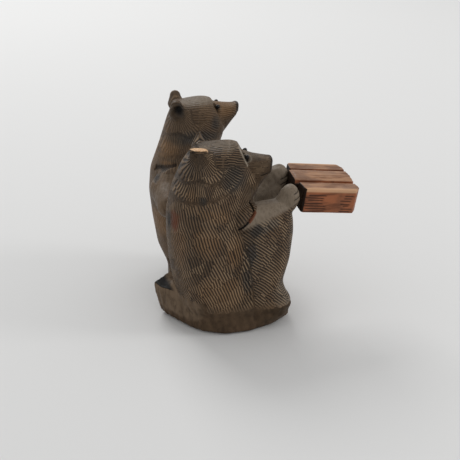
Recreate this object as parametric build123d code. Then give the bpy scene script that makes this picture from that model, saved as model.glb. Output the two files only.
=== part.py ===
from build123d import *
import os

# Two bears carved in stained softwood sit side by side on one low plinth and look along +X.
# Bear frame: x forward, y to the bear's left, z up, with zero on the ground under its seat.

# Plinth: a slab with a raised rim along its back
SEAT_HEIGHT = 11.0
SLAB_HEIGHT = 12.0
RIM_HEIGHT = 17.5
RIM_FRONT = -14.0
PLINTH_OUTLINE = [
    (-33.5, 13.5), (-31.5, 7.0), (-24.5, -3.5), (-16.0, -14.5), (-5.0, -20.5), (8.0, -20.5),
    (20.0, -16.5), (31.0, -9.0), (32.0, 0.0), (28.0, 30.0), (26.0, 56.0), (16.0, 66.0),
    (0.0, 69.0), (-14.0, 66.0), (-20.0, 45.0), (-23.5, 24.0),
]
PLINTH_CHAMFER = 0.8

# Place of the second bear, beside the first
BEAR_PITCH = 45.0

# Eyes: black glass beads
EYE_RADIUS = 1.1
EYE_CLEARANCE = 0.03

# Dowels that hold each bear on the plinth
DOWEL_RADIUS = 2.0
DOWEL_LENGTH = 14.0
DOWEL_BELOW_SEAT = 7.0
DOWEL_PLACES = [(-9.0, 0.0), (9.0, 0.0)]

# Open book held by the first bear
BOOK_LENGTH = 28.0
BOOK_WIDTH = 31.0
BOOK_THICKNESS = 11.5
BOOK_CENTRE = (49.0, 1.5, 64.0)
BOOK_PITCH = 7.0
BOOK_ROLL = 7.5
BOOK_EDGE_BAND = 8.0
BOOK_GROOVE = 1.6
BOOK_CORNER = 2.5
BOOK_PIN_RADIUS = 1.0
BOOK_PIN_LENGTH = 10.0
BOOK_PIN_SPACING = 19.0

# Wider than the whole figurine, for cutting
WIDE = 200.0

# Each row of a torso is (height, back, front, half width)
NEAR_TORSO = [
    (11.0, -22.5, 22.0, 20.0), (22.0, -25.8, 18.0, 22.0), (34.0, -27.6, 14.0, 22.5),
    (48.0, -28.6, 14.0, 22.0), (60.0, -28.6, 14.0, 20.5), (72.0, -25.8, 14.0, 17.5),
    (82.0, -21.6, 12.0, 14.5), (89.0, -17.4, 6.0, 11.5), (92.0, -13.0, 0.0, 8.0),
]
FAR_TORSO = [
    (11.0, -18.5, 22.0, 19.5), (24.0, -23.4, 18.0, 22.0), (40.0, -25.2, 14.0, 21.5),
    (54.0, -28.6, 12.0, 21.0), (66.0, -27.6, 10.5, 19.0), (80.0, -22.4, 9.5, 14.5),
    (92.0, -18.6, 7.0, 12.0), (99.0, -15.8, 2.0, 10.0), (102.0, -12.0, -2.0, 7.0),
]
# Heads, ears and eyes are placed in a head frame: the bear frame turned to the bear's right
HEAD_TURN = 10.0
# Each row of a head is (place along x, underside, top, half width)
NEAR_HEAD = [
    (-13.0, 72.0, 91.0, 11.0), (-5.0, 70.0, 92.3, 12.6), (3.0, 67.0, 91.4, 11.6),
    (10.2, 66.5, 88.0, 9.4), (16.0, 69.5, 85.6, 7.0), (22.8, 76.2, 84.2, 5.0),
]
FAR_HEAD = [
    (-13.5, 84.0, 101.0, 10.0), (-6.0, 82.0, 102.6, 12.0), (2.0, 81.0, 102.8, 11.5),
    (7.0, 81.5, 100.6, 9.0), (12.0, 86.0, 99.8, 6.4), (17.8, 93.6, 99.6, 4.6),
]
# Each row of a bent leg is (height, back, front, half width), about a line LEG_OFFSET to the side
NEAR_LEG = [
    (10.0, 6.0, 29.5, 7.5), (17.0, 4.0, 28.0, 7.5), (25.0, -2.0, 25.6, 8.0),
    (36.0, -4.0, 29.2, 9.0), (50.0, -2.0, 30.8, 8.5), (60.0, 2.0, 30.0, 7.0), (66.0, 8.0, 27.0, 5.0),
]
FAR_LEG = [
    (10.0, 6.0, 27.0, 7.5), (17.0, 4.0, 26.0, 7.5), (26.0, -2.0, 24.0, 8.0),
    (34.0, -4.0, 26.5, 9.0), (44.0, -2.0, 28.0, 8.5), (51.0, 2.0, 27.0, 7.0), (56.0, 8.0, 24.0, 5.0),
]
LEG_OFFSET = 13.0
FOREARM_OFFSET = 11.0

# Ears: (x, y, z, radius, length), each a cut cone leaning outward. The first bear has lost its right ear.
NEAR_LEFT_EAR = (-11.6, 8.8, 87.5, 3.8, 7.3)
FAR_RIGHT_EAR = (-13.5, -8.6, 96.0, 3.8, 7.3)
FAR_LEFT_EAR = (-13.5, 8.6, 96.0, 3.8, 7.3)
EAR_LEAN = 12.0

NEAR_EYE = (10.2, 5.2, 86.6)
FAR_EYE = (7.5, 5.0, 98.6)


def upright_loft(rows, offset=0.0):
    """Loft ellipses that lie level, one for each row of (height, back, front, half width)."""
    sections = []
    for height, back, front, half_width in rows:
        ellipse = Ellipse((front - back) / 2, half_width)
        sections.append(Pos((front + back) / 2, offset, height) * ellipse)
    return loft(sections)


def forward_loft(rows):
    """Loft upright ellipses along x, one for each row of (x, underside, top, half width)."""
    sections = []
    for x, underside, top, half_width in rows:
        plane = Plane.YZ.offset(x)
        sections.append(plane * Pos(0, (top + underside) / 2) * Ellipse(half_width, (top - underside) / 2))
    return loft(sections)


def limb(start, end, start_radius, end_radius):
    """A tapered limb between two points, round at both ends."""
    axis = Vector(*end) - Vector(*start)
    plane = Plane(origin=Vector(*start), z_dir=axis)
    shaft = plane * loft([Circle(start_radius), Pos(0, 0, axis.length) * Circle(end_radius)])
    return shaft + Pos(*start) * Sphere(start_radius) + Pos(*end) * Sphere(end_radius)


def ear(x, y, z, radius, length):
    side = 1 if y > 0 else -1
    cone = Cone(radius, radius * 0.45, length, align=(Align.CENTER, Align.CENTER, Align.MIN))
    return Pos(x, y, z) * Rot(-side * EAR_LEAN, 0, 0) * cone


def book_location():
    return Pos(*BOOK_CENTRE) * Rot(0, BOOK_PITCH, 0) * Rot(BOOK_ROLL, 0, 0)


def book_block():
    """The open book: two edge bands and a middle band, parted by grooves along x."""
    block = Box(BOOK_LENGTH, BOOK_WIDTH, BOOK_THICKNESS)
    bear_side = block.edges().filter_by(Axis.Z).sort_by(Axis.X)[:2]
    block = chamfer(bear_side, BOOK_CORNER)
    groove_y = BOOK_WIDTH / 2 - BOOK_EDGE_BAND
    for side in (-1, 1):
        cutter = Rot(45, 0, 0) * Box(BOOK_LENGTH + 2, BOOK_GROOVE, BOOK_GROOVE)
        block -= Pos(0, side * groove_y, BOOK_THICKNESS / 2) * cutter
    return block


def book_pin(side):
    pin = Rot(0, 90, 0) * Cylinder(BOOK_PIN_RADIUS, BOOK_PIN_LENGTH)
    return book_location() * Pos(-BOOK_LENGTH / 2, side * BOOK_PIN_SPACING / 2, 0) * pin


def near_arm(side):
    elbow = (2.0, side * 15.0, 56.0)
    wrist = (18.0, side * FOREARM_OFFSET, 62.0)
    paw = (27.0, side * (FOREARM_OFFSET - 0.5), 66.5)
    return limb(elbow, wrist, 7.0, 5.6) + limb(wrist, paw, 5.6, 6.0)


def resting_arm(side):
    """An arm whose paw lies on its own knee."""
    elbow = (2.0, side * 16.0, 52.0)
    paw = (20.0, side * 12.5, 55.0)
    return limb(elbow, paw, 6.5, 5.2)


def hugging_arm():
    """The second bear's right arm, laid behind the first bear's back."""
    shoulder = (-17.0, -12.0, 66.0)
    elbow = (-22.5, -21.0, 60.5)
    paw = (-25.0, -30.0, 57.0)
    return limb(shoulder, elbow, 8.0, 7.4) + limb(elbow, paw, 7.4, 6.0)


def head_turn():
    return Rot(0, 0, -HEAD_TURN)


def bear(torso_rows, head_rows, leg_rows, ears, arms):
    body = upright_loft(torso_rows) + head_turn() * forward_loft(head_rows)
    for side in (-1, 1):
        body += upright_loft(leg_rows, side * LEG_OFFSET)
    for shape in ears:
        body += head_turn() * shape
    for shape in arms:
        body += shape
    return body - below(SEAT_HEIGHT)


def below(height):
    return Pos(0, 0, height / 2) * Box(WIDE, WIDE, height)


def eye(place, side, clearance=0.0):
    x, y, z = place
    return head_turn() * Pos(x, side * y, z) * Sphere(EYE_RADIUS + clearance)


def dowels():
    centre = SEAT_HEIGHT - DOWEL_BELOW_SEAT + DOWEL_LENGTH / 2
    return [Pos(x, y, centre) * Cylinder(DOWEL_RADIUS, DOWEL_LENGTH) for x, y in DOWEL_PLACES]


def plinth():
    outline = make_face(Polyline(*PLINTH_OUTLINE, close=True))
    rim = extrude(outline, RIM_HEIGHT)
    rim = chamfer(rim.faces().sort_by(Axis.Z)[-1].edges(), PLINTH_CHAMFER)
    rim &= Pos(RIM_FRONT - WIDE / 2, 0, 0) * Box(WIDE, WIDE, WIDE)
    return extrude(outline, SLAB_HEIGHT) + rim


def build_nodes():
    beside = Pos(0, BEAR_PITCH, 0)
    book = book_location() * book_block()
    book_pins = [book_pin(side) for side in (-1, 1)]
    near_dowels = dowels()
    far_dowels = [beside * dowel for dowel in dowels()]

    near_bear = bear(NEAR_TORSO, NEAR_HEAD, NEAR_LEG, [ear(*NEAR_LEFT_EAR)], [near_arm(-1), near_arm(1)])
    far_bear = bear(FAR_TORSO, FAR_HEAD, FAR_LEG, [ear(*FAR_RIGHT_EAR), ear(*FAR_LEFT_EAR)],
                    [resting_arm(1), hugging_arm()])
    for side in (-1, 1):
        near_bear -= eye(NEAR_EYE, side, EYE_CLEARANCE)
        far_bear -= eye(FAR_EYE, side, EYE_CLEARANCE)
    near_bear -= book_location() * Box(BOOK_LENGTH, BOOK_WIDTH, BOOK_THICKNESS + 8)
    far_bear = beside * far_bear - near_bear

    base = plinth() - near_bear - far_bear
    for dowel in near_dowels:
        near_bear -= dowel
        base -= dowel
    for dowel in far_dowels:
        far_bear -= dowel
        base -= dowel
    for pin in book_pins:
        near_bear -= pin
        book -= pin

    return {
        "plinth": base,
        "near_bear": near_bear,
        "far_bear": far_bear,
        "open_book": book,
        "near_bear_right_eye": eye(NEAR_EYE, -1),
        "near_bear_left_eye": eye(NEAR_EYE, 1),
        "far_bear_right_eye": beside * eye(FAR_EYE, -1),
        "far_bear_left_eye": beside * eye(FAR_EYE, 1),
        "near_bear_dowels": Compound(near_dowels),
        "far_bear_dowels": Compound(far_dowels),
        "book_pins": Compound(book_pins),
    }


def main():
    nodes = build_nodes()
    box = Compound(list(nodes.values())).bounding_box()
    centre = box.center()
    to_frame = Pos(-centre.X, -centre.Y, -box.min.Z)
    os.makedirs("parts", exist_ok=True)
    for name, shape in nodes.items():
        export_step(to_frame * shape, f"parts/{name}.step")
    print("whole object", box.size, "moved by", to_frame.position)


main()
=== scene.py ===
import math
from collections import deque

import bpy
import numpy as np
import openvdb
from mathutils import Matrix, Vector, kdtree


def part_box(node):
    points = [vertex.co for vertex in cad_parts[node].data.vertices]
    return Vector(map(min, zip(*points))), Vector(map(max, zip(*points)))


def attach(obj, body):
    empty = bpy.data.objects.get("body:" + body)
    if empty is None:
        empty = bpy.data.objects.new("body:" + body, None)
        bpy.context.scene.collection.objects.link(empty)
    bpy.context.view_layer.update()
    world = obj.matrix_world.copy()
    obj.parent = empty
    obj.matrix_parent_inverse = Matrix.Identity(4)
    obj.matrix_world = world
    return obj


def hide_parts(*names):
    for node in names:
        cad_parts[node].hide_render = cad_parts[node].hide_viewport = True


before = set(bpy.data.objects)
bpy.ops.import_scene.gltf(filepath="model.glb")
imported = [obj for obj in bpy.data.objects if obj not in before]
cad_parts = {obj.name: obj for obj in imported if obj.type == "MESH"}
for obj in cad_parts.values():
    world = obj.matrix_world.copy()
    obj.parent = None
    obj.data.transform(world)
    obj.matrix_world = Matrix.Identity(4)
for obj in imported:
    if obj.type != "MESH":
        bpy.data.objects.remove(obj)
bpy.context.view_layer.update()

# The carvings are worked out in millimetres in the first bear's own frame: x forward, y to its left,
# z up, zero on the ground under its seat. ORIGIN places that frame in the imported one.
MM = 0.001
PLINTH_BACK = 33.5
PLINTH_NEAR = 20.5
ORIGIN = np.array(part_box("plinth")[0]) + np.array([PLINTH_BACK, PLINTH_NEAR, 0.0]) * MM

BEAR_PITCH = 45.0
SEAT_HEIGHT = 11.0
HEAD_TURN = 10.0

BEAR_VOXEL = 0.62
BOOK_VOXEL = 0.3
PLINTH_VOXEL = 0.7
MOST_TRIANGLES = 196000

# Plinth: a slab with a raised rim along its back
SLAB_HEIGHT = 12.0
RIM_HEIGHT = 17.4
RIM_FRONT = -14.0
PLINTH_OUTLINE = [
    (-33.5, 13.5), (-31.5, 7.0), (-24.5, -3.5), (-16.0, -14.5), (-5.0, -20.5), (8.0, -20.5),
    (20.0, -16.5), (31.0, -9.0), (32.0, 0.0), (28.0, 30.0), (26.0, 56.0), (16.0, 66.0),
    (0.0, 69.0), (-14.0, 66.0), (-20.0, 45.0), (-23.5, 24.0),
]

# Book held by the first bear
BOOK_SIZE = (28.0, 31.0, 11.5)
BOOK_CENTRE = (49.0, 1.5, 64.0)
BOOK_PITCH = 7.0
BOOK_ROLL = 7.5
BOOK_GROOVES = (-5.4, 8.0)

# Rows of a torso or leg: (height, back, front, half width). Rows of a head: (place along x, underside,
# top, half width). Everything about a head is in the head frame, which is turned to the bear's right.
NEAR = {
    "torso": [
        (9.0, -21.0, 22.0, 20.0), (14.0, -23.5, 21.0, 21.2), (22.0, -25.8, 18.0, 22.4),
        (34.0, -27.6, 14.0, 22.6), (48.0, -28.6, 14.0, 22.0), (60.0, -28.6, 14.0, 20.6),
        (72.0, -25.8, 13.0, 17.6), (82.0, -21.6, 10.0, 14.0), (90.0, -16.6, 4.0, 10.0),
    ],
    "cranium": [
        (-14.0, 72.0, 90.2, 10.2), (-9.0, 70.0, 92.0, 11.6), (-3.0, 68.0, 92.8, 12.4),
        (3.0, 66.5, 93.1, 11.8), (7.0, 66.0, 92.0, 10.6), (11.0, 66.0, 88.0, 9.4), (15.0, 67.0, 86.0, 7.8),
    ],
    "face": [
        (-5.0, 68.0, 90.0, 9.0), (4.0, 66.0, 89.4, 9.4), (8.0, 65.5, 88.4, 8.8), (10.2, 65.5, 87.6, 8.2),
        (13.0, 66.0, 86.6, 7.5), (16.0, 69.8, 86.0, 6.8), (18.4, 73.8, 85.6, 6.0), (20.6, 76.4, 85.2, 5.4),
        (22.2, 77.4, 84.9, 4.9),
    ],
    "leg": [
        (9.0, 6.0, 29.0, 8.0), (14.0, 6.0, 29.3, 8.0), (19.0, 2.0, 27.2, 8.0), (24.0, -2.0, 25.6, 8.2),
        (36.0, -4.0, 29.0, 9.0), (50.0, -2.0, 30.6, 8.6), (58.0, 2.0, 30.2, 7.6), (64.0, 8.0, 27.0, 6.0),
    ],
    "cheek": (0.5, 6.8, 77.5),
    "brow": (8.4, 87.3),
    "nose": (21.2, 82.5),
    "mouth": [(23.6, 79.3), (20.0, 78.0), (16.5, 77.7)],
    "ear_root": (-13.0, 9.3, 91.0),
}
FAR = {
    "torso": [
        (9.0, -17.5, 22.0, 19.5), (14.0, -20.4, 21.0, 20.6), (24.0, -24.6, 18.0, 22.0),
        (40.0, -27.0, 14.0, 21.5), (54.0, -28.4, 12.0, 21.0), (66.0, -27.4, 10.5, 19.0),
        (80.0, -22.4, 9.0, 14.6), (92.0, -18.6, 6.0, 11.6), (99.5, -15.6, 0.0, 9.0),
    ],
    "cranium": [
        (-13.5, 84.0, 100.4, 9.4), (-8.0, 82.5, 101.6, 10.8), (-2.0, 81.5, 102.5, 11.2),
        (2.0, 81.0, 102.5, 10.6), (6.0, 81.0, 101.2, 9.4), (10.0, 82.0, 99.8, 7.6),
    ],
    "face": [
        (-4.0, 82.0, 100.0, 8.4), (2.0, 80.5, 100.4, 8.6), (6.0, 80.5, 100.0, 7.8), (9.0, 82.5, 99.6, 6.8),
        (12.0, 86.4, 99.3, 6.0), (15.0, 90.6, 99.2, 5.2), (17.6, 93.8, 99.2, 4.5),
    ],
    "leg": [
        (9.0, 6.0, 26.5, 8.0), (14.0, 6.0, 27.0, 8.0), (19.0, 2.0, 25.4, 8.0), (25.0, -2.0, 24.0, 8.2),
        (34.0, -4.0, 26.5, 9.0), (44.0, -2.0, 28.0, 8.6), (51.0, 2.0, 27.0, 7.2), (56.5, 8.0, 24.0, 6.0),
    ],
    "cheek": (-1.0, 6.2, 90.0),
    "brow": (5.6, 98.8),
    "nose": (17.0, 97.2),
    "mouth": [(18.2, 95.2), (15.0, 93.8), (12.0, 93.6)],
    "ear_root": (-13.5, 9.0, 99.5),
}
LEG_OFFSET = 13.0
BROW_LEAN = 25.5

# Gouge strokes in the fur, as (spacing, length) for each region, and facets on planed parts as
# (length, spacing, depth)
TORSO_STROKE = (1.4, 4.6)
THIGH_STROKE = (1.35, 4.4)
EAR_STROKE = (1.25, 4.6)
CROWN_STROKE = (1.05, 5.5)
FRONT_STROKE = (1.10, 3.6)
FACE_STROKE = (0.75, 2.8)
PLANED_FACET = (9.0, 3.4, 0.16)
FUR_FADE_HEIGHT = 6.0


def linear(red, green, blue):
    """A colour given as the eye reads it, on a scale to 255, in the renderer's linear numbers."""
    shares = [value / 255 for value in (red, green, blue)]
    return tuple(share / 12.92 if share < 0.0405 else ((share + 0.055) / 1.055) ** 2.4 for share in shares)


# ---------------------------------------------------------------- distance fields

def smooth_min(a, b, radius):
    """Join two shapes with a fillet of about this radius."""
    h = np.clip(0.5 + 0.5 * (b - a) / radius, 0.0, 1.0)
    return b * (1 - h) + a * h - radius * h * (1 - h)


def smooth_max(a, b, radius):
    return -smooth_min(-a, -b, radius)


def smooth_step(value, low, high):
    t = np.clip((value - low) / (high - low), 0.0, 1.0)
    return t * t * (3 - 2 * t)


def capsule(p, start, end, start_radius, end_radius):
    """Distance to a tapered limb, round at both ends."""
    start = np.array(start, float)
    run = np.array(end, float) - start
    rel = [p[k] - start[k] for k in range(3)]
    t = np.clip(sum(rel[k] * run[k] for k in range(3)) / run.dot(run), 0.0, 1.0)
    gap = np.sqrt(sum((rel[k] - t * run[k]) ** 2 for k in range(3)))
    return gap - (start_radius + (end_radius - start_radius) * t)


def turned(p, centre, pitch=0.0, roll=0.0, yaw=0.0):
    """Points seen from a frame at centre, turned about x (roll), y (pitch) and z (yaw) in degrees."""
    spin = (Matrix.Rotation(math.radians(yaw), 3, "Z") @ Matrix.Rotation(math.radians(pitch), 3, "Y")
            @ Matrix.Rotation(math.radians(roll), 3, "X"))
    rel = [p[k] - centre[k] for k in range(3)]
    return [sum(rel[j] * spin[j][k] for j in range(3)) for k in range(3)]


def to_head_frame(p):
    return turned(p, (0.0, 0.0, 0.0), yaw=-HEAD_TURN)


def from_head_frame(place):
    return np.array(Matrix.Rotation(math.radians(-HEAD_TURN), 3, "Z") @ Vector(place))


def ellipsoid(p, centre, radii, **turns):
    q = turned(p, centre, **turns)
    k0 = np.sqrt(sum((q[k] / radii[k]) ** 2 for k in range(3)))
    k1 = np.sqrt(sum((q[k] / radii[k] ** 2) ** 2 for k in range(3)))
    return k0 * (k0 - 1.0) / np.maximum(k1, 1e-4)


def rounded_box(p, centre, size, radius, **turns):
    q = turned(p, centre, **turns)
    out = [np.abs(q[k]) - size[k] / 2 + radius for k in range(3)]
    outside = np.sqrt(sum(np.maximum(o, 0.0) ** 2 for o in out))
    inside = np.minimum(np.maximum(np.maximum(out[0], out[1]), out[2]), 0.0)
    return outside + inside - radius


def stations(rows, at, softness=1.5):
    """Columns of rows at each place, straight between rows with corners rounded over softness."""
    table = np.array(rows, float)
    step = 0.25
    places = np.arange(table[0, 0] - 12, table[-1, 0] + 12, step)
    reach = np.arange(-3 * softness, 3 * softness + step, step)
    bell = np.exp(-0.5 * (reach / softness) ** 2)
    bell /= bell.sum()
    margin = len(bell) // 2
    columns = []
    for column in table.T[1:]:
        line = np.interp(places, table[:, 0], column)
        line = np.convolve(np.pad(line, margin, mode="edge"), bell, mode="same")[margin:-margin]
        columns.append(np.interp(at, places, line).astype(np.float32))
    return columns


def oval_field(u, v, half_u, half_v, power):
    """Distance to an oval with half sizes that may vary from point to point."""
    au = np.abs(u) / half_u
    av = np.abs(v) / half_v
    total = np.maximum(au ** power + av ** power, 1e-6)
    r = total ** (1 / power)
    slope = total ** (1 / power - 1) * np.hypot(au ** (power - 1) / half_u, av ** (power - 1) / half_v)
    return (r - 1) / np.maximum(slope, 0.5 / np.maximum(half_u, half_v))


def column_field(p, rows, offset=0.0, power=2.2):
    """Upright form: rows of (height, back, front, half width)."""
    x, y, z = p
    back, front, half_width = stations(rows, z)
    body = oval_field(x - (front + back) / 2, y - offset, (front - back) / 2, half_width, power)
    return smooth_max(body, z - rows[-1][0], 5.0)


def beam_field(p, rows, power, end_radius):
    """Form that lies along x: rows of (x, underside, top, half width)."""
    x, y, z = p
    under, top, half_width = stations(rows, x, 1.0)
    body = oval_field(y, z - (top + under) / 2, half_width, (top - under) / 2, power)
    body = smooth_max(body, x - rows[-1][0], end_radius)
    return smooth_max(body, rows[0][0] - x, 6.0)


def grid_points(low, high, voxel):
    axes = [np.arange(low[k], high[k] + voxel, voxel, dtype=np.float32) for k in range(3)]
    return np.meshgrid(*axes, indexing="ij")


# ---------------------------------------------------------------- meshes

def mesh_from_field(name, field, low, voxel):
    """Closed quad mesh where the field is zero, in millimetres of the first bear's frame."""
    grid = openvdb.FloatGrid(float(field.max()))
    grid.copyFromArray(field.astype(np.float32))
    points, quads = grid.convertToQuads(isovalue=0.0)
    points = points.astype(float) * voxel + np.array(low)
    mesh = bpy.data.meshes.new(name)
    mesh.vertices.add(len(points))
    mesh.vertices.foreach_set("co", points.ravel())
    mesh.loops.add(quads.size)
    mesh.loops.foreach_set("vertex_index", quads.ravel().astype(np.int32))
    mesh.polygons.add(len(quads))
    mesh.polygons.foreach_set("loop_start", np.arange(0, quads.size, 4, dtype=np.int32))
    mesh.update(calc_edges=True)
    mesh.validate()
    return mesh


def modified(mesh, kind, **settings):
    """The mesh after one modifier."""
    name = mesh.name
    holder = bpy.data.objects.new("holder", mesh)
    bpy.context.scene.collection.objects.link(holder)
    modifier = holder.modifiers.new("change", kind)
    for key, value in settings.items():
        setattr(modifier, key, value)
    graph = bpy.context.evaluated_depsgraph_get()
    result = bpy.data.meshes.new_from_object(holder.evaluated_get(graph))
    bpy.data.objects.remove(holder)
    bpy.data.meshes.remove(mesh)
    result.name = name
    return result


def thinned(mesh):
    """The mesh with few enough triangles: flat stretches lose most, carved ones keep theirs."""
    triangles = sum(len(face.vertices) - 2 for face in mesh.polygons)
    if triangles <= MOST_TRIANGLES:
        return mesh
    return modified(mesh, "DECIMATE", ratio=MOST_TRIANGLES / triangles)


def vertex_arrays(mesh):
    count = len(mesh.vertices)
    points = np.empty(count * 3)
    mesh.vertices.foreach_get("co", points)
    normals = np.empty(count * 3)
    mesh.vertex_normals.foreach_get("vector", normals)
    return points.reshape(-1, 3), normals.reshape(-1, 3)


def add_attribute(mesh, name, values):
    layer = mesh.attributes.new(name, "FLOAT", "POINT")
    layer.data.foreach_set("value", np.asarray(values, dtype=np.float32))


def finish_piece(mesh, shift, material, nodes):
    """Move a finished mesh from bear millimetres to the frame, attach it to the root body and hide the CAD
    nodes it stands for.
    """
    mesh = thinned(mesh)
    points, _ = vertex_arrays(mesh)
    points = (points + np.array(shift)) * MM + ORIGIN
    mesh.vertices.foreach_set("co", points.ravel())
    mesh.polygons.foreach_set("use_smooth", [True] * len(mesh.polygons))
    mesh.update()
    piece = bpy.data.objects.new(mesh.name, mesh)
    bpy.context.scene.collection.objects.link(piece)
    mesh.materials.append(material)
    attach(piece, "root")
    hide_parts(*nodes)
    return piece


# ---------------------------------------------------------------- shapes of the bears

def eyes_of(nodes, sideways):
    """Centres of the eye beads in a bear's own frame."""
    places = []
    for name in nodes:
        low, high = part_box(name)
        centre = (np.array(low) + np.array(high)) / 2
        places.append((centre - ORIGIN) / MM - np.array([0.0, sideways, 0.0]))
    return places


def head_field(q, bear):
    """A head in its own frame: a furry cranium that ends in a brow, and a smoother face before it."""
    x, y, z = q
    mirrored = [x, np.abs(y), z]
    face = beam_field(q, bear["face"], 2.5, 1.4)
    cranium = beam_field(q, bear["cranium"], 2.3, 2.0)
    cranium = smooth_min(cranium, ellipsoid(mirrored, bear["cheek"], (10.0, 5.6, 9.5)), 4.0)
    lean = math.radians(BROW_LEAN)
    brow_x, brow_z = bear["brow"]
    cranium = smooth_max(cranium, (x - brow_x) * math.cos(lean) + (z - brow_z) * math.sin(lean), 0.5)
    head = smooth_min(cranium, face, 0.8)
    nose_x, nose_z = bear["nose"]
    nose = rounded_box(q, (nose_x, 0, nose_z), (3.2, 7.0, 4.6), 1.3, pitch=10)
    head = smooth_min(head, nose, 0.6)
    nostril = ellipsoid(mirrored, (nose_x + 1.7, 1.6, nose_z + 0.2), (1.0, 0.8, 0.9))
    return smooth_max(head, -nostril, 0.4)


def ear_field(q, side, root, tip, root_radius, tip_radius):
    """A small rounded ear with a hollow on its outer side."""
    start = (root[0], side * root[1], root[2])
    end = (tip[0], side * tip[1], tip[2])
    ear = capsule(q, start, end, root_radius, tip_radius)
    middle = [(root[k] + 2 * tip[k]) / 3 for k in range(3)]
    reach = 0.75 * root_radius
    hollow_centre = (middle[0] + 0.8, side * (middle[1] + reach), middle[2] - 1.2)
    scoop = ellipsoid(q, hollow_centre, (0.6 * root_radius, 2.0, 2.6))
    return smooth_max(ear, -scoop, 0.6)


def legs_field(p, bear, body):
    front = stations(bear["leg"], np.array([12.0]))[1][0]
    for side in (-1, 1):
        leg = column_field(p, bear["leg"], side * LEG_OFFSET, 2.1)
        foot = ellipsoid(p, (front - 9.0, side * LEG_OFFSET, 13.0), (9.4, 8.2, 6.2))
        body = smooth_min(body, smooth_min(leg, foot, 2.5), 1.6)
    return body


def holding_arm_field(p, side):
    """A forearm with a planed top that rests on the knee, and a paw that grips the book."""
    forearm = capsule(p, (5.5, side * 14.8, 58.4), (22.0, side * 12.4, 60.2), 7.4, 6.2)
    forearm = smooth_max(forearm, p[2] - 65.5, 0.7)
    if side < 0:
        paw = capsule(p, (25.0, -11.8, 60.8), (28.8, -11.4, 66.4), 5.3, 4.9)
        fist = ellipsoid(p, (29.2, -11.3, 66.0), (4.4, 5.6, 6.6), pitch=8)
    else:
        paw = capsule(p, (19.5, 11.4, 60.4), (28.4, 11.0, 68.6), 5.4, 5.2)
        paw = smooth_min(paw, capsule(p, (16.0, 8.0, 59.0), (27.6, 8.4, 62.0), 6.4, 5.4), 2.0)
        fist = ellipsoid(p, (30.6, 11.0, 68.6), (4.8, 5.8, 6.4), pitch=8)
    return smooth_min(forearm, smooth_min(paw, fist, 1.5), 1.0)


def near_bear_field(p, eyes):
    body = column_field(p, NEAR["torso"])
    q = to_head_frame(p)
    head = head_field(q, NEAR)
    head = smooth_min(head, ear_field(q, 1, (-11.6, 8.8, 89.0), (-11.4, 10.3, 93.8), 3.7, 1.1), 1.0)
    stump = oval_field(q[0] + 13.0, q[1] + 9.2 + 0.12 * q[0], 4.1, 2.3, 2.3)
    stump = smooth_max(smooth_max(stump, q[2] - 91.9 + 0.06 * (q[0] + 13.0), 0.3), 80.0 - q[2], 1.0)
    head = smooth_min(head, stump, 2.0)
    body = smooth_min(body, head, 3.0)
    body = smooth_min(body, ellipsoid(p, (8.0, 0.0, 48.0), (13.0, 12.0, 14.0)), 3.0)
    body = legs_field(p, NEAR, body)
    for side in (-1, 1):
        body = smooth_min(body, holding_arm_field(p, side), 1.0)
    for place in eyes:
        body = smooth_max(body, -ellipsoid(p, place, (1.8, 1.7, 1.5)), 0.5)
    slot = capsule(p, (-29.6, -4.0, 61.5), (-29.4, -3.5, 55.0), 1.4, 1.3)
    body = smooth_max(body, -slot, 0.3)
    return smooth_max(body, SEAT_HEIGHT - p[2], 0.1)


def far_bear_field(p, eyes):
    """The second bear in its own frame: the first bear's frame moved sideways."""
    body = column_field(p, FAR["torso"])
    q = to_head_frame(p)
    head = head_field(q, FAR)
    for side in (-1, 1):
        ear = ear_field(q, side, (-13.2, 8.2, 97.6), (-13.4, 9.6, 101.0), 4.2, 2.8)
        head = smooth_min(head, ear, 0.8)
    body = smooth_min(body, head, 3.0)
    body = smooth_min(body, ellipsoid(p, (8.0, 0.0, 44.0), (12.0, 12.0, 14.0)), 3.0)
    body = legs_field(p, FAR, body)
    rest = smooth_min(capsule(p, (2.0, 16.0, 52.0), (20.0, 12.5, 55.0), 6.5, 5.0),
                      ellipsoid(p, (22.0, 12.4, 55.5), (5.5, 5.0, 4.0)), 2.0)
    body = smooth_min(body, rest, 1.5)
    hug = smooth_min(capsule(p, (-17.0, -11.0, 65.0), (-22.6, -15.0, 60.0), 8.4, 8.0),
                     capsule(p, (-22.6, -15.0, 60.0), (-24.5, -30.0, 57.0), 8.0, 6.0), 1.5)
    body = smooth_min(body, hug, 0.8)
    body = smooth_max(body, -capsule(p, (-28.0, -19.0, 67.2), (-30.2, -9.0, 65.6), 1.0, 1.6), 0.5)
    for place in eyes:
        body = smooth_max(body, -ellipsoid(p, place, (1.8, 1.7, 1.5)), 0.5)
    return smooth_max(body, SEAT_HEIGHT - p[2], 0.1)


# ---------------------------------------------------------------- gouge work

def unit(v):
    return v / np.maximum(np.linalg.norm(v, axis=1, keepdims=True), 1e-9)


def tangent(direction, normals):
    flat = direction - normals * np.sum(direction * normals, axis=1, keepdims=True)
    return unit(flat)


def point_tree(points):
    tree = kdtree.KDTree(len(points))
    for i, point in enumerate(points):
        tree.insert(point, i)
    tree.balance()
    return tree


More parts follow.
